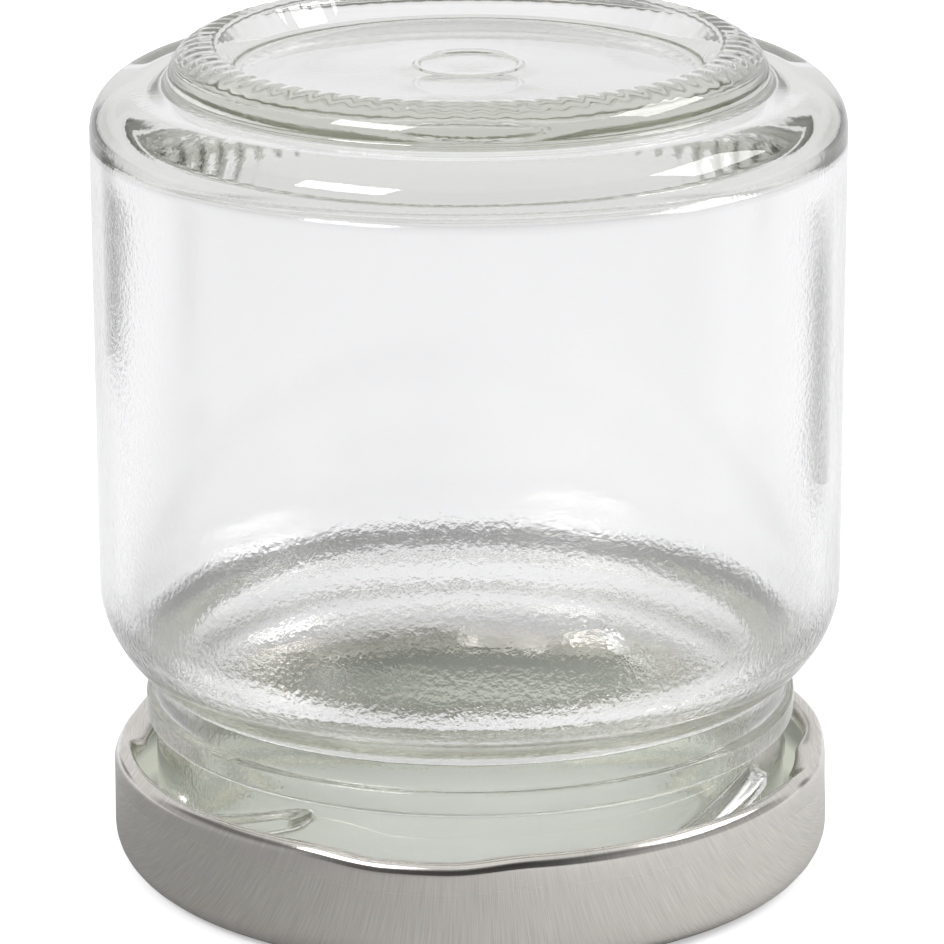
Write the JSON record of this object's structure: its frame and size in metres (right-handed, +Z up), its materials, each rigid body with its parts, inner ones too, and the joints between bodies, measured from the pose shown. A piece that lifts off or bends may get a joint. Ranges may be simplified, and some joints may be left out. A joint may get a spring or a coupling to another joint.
{
  "type": "glass storage jar with twist-off lid",
  "caption": "Small clear glass herb jar with a foot ring, standing upside down in its brushed twist-off metal lid with a sealing ring.",
  "frame": {"origin": "centre of the lid's underside, on the table that the jar stands on upside down", "axes": "+Z up along the jar's axis, from the lid to the jar's foot ring; -Y towards the front"},
  "size_m": [0.0634, 0.0634, 0.0715],
  "materials": {
    "brushed_tinplate": "vertical brushing under clear lacquer",
    "sealing_compound": "soft satin plastisol",
    "clear_glass": "fire-polished clear soda-lime glass"
  },
  "bodies": {
    "lid": {"lid_shell": "brushed_tinplate"},
    "seal": {"sealing_ring": "sealing_compound"},
    "jar": {"glass_jar": "clear_glass"}
  },
  "joints": [
    {"name": "jar_twist", "type": "hinge", "parent": "lid", "child": "seal", "pos_m": [0, 0, 0], "axis": [0, 0, 1], "range_deg": [-24, 12]},
    {"name": "jar_lift", "type": "slide", "parent": "seal", "child": "jar", "axis": [0, 0, 1], "range_m": [0, 0.06]}
  ]
}
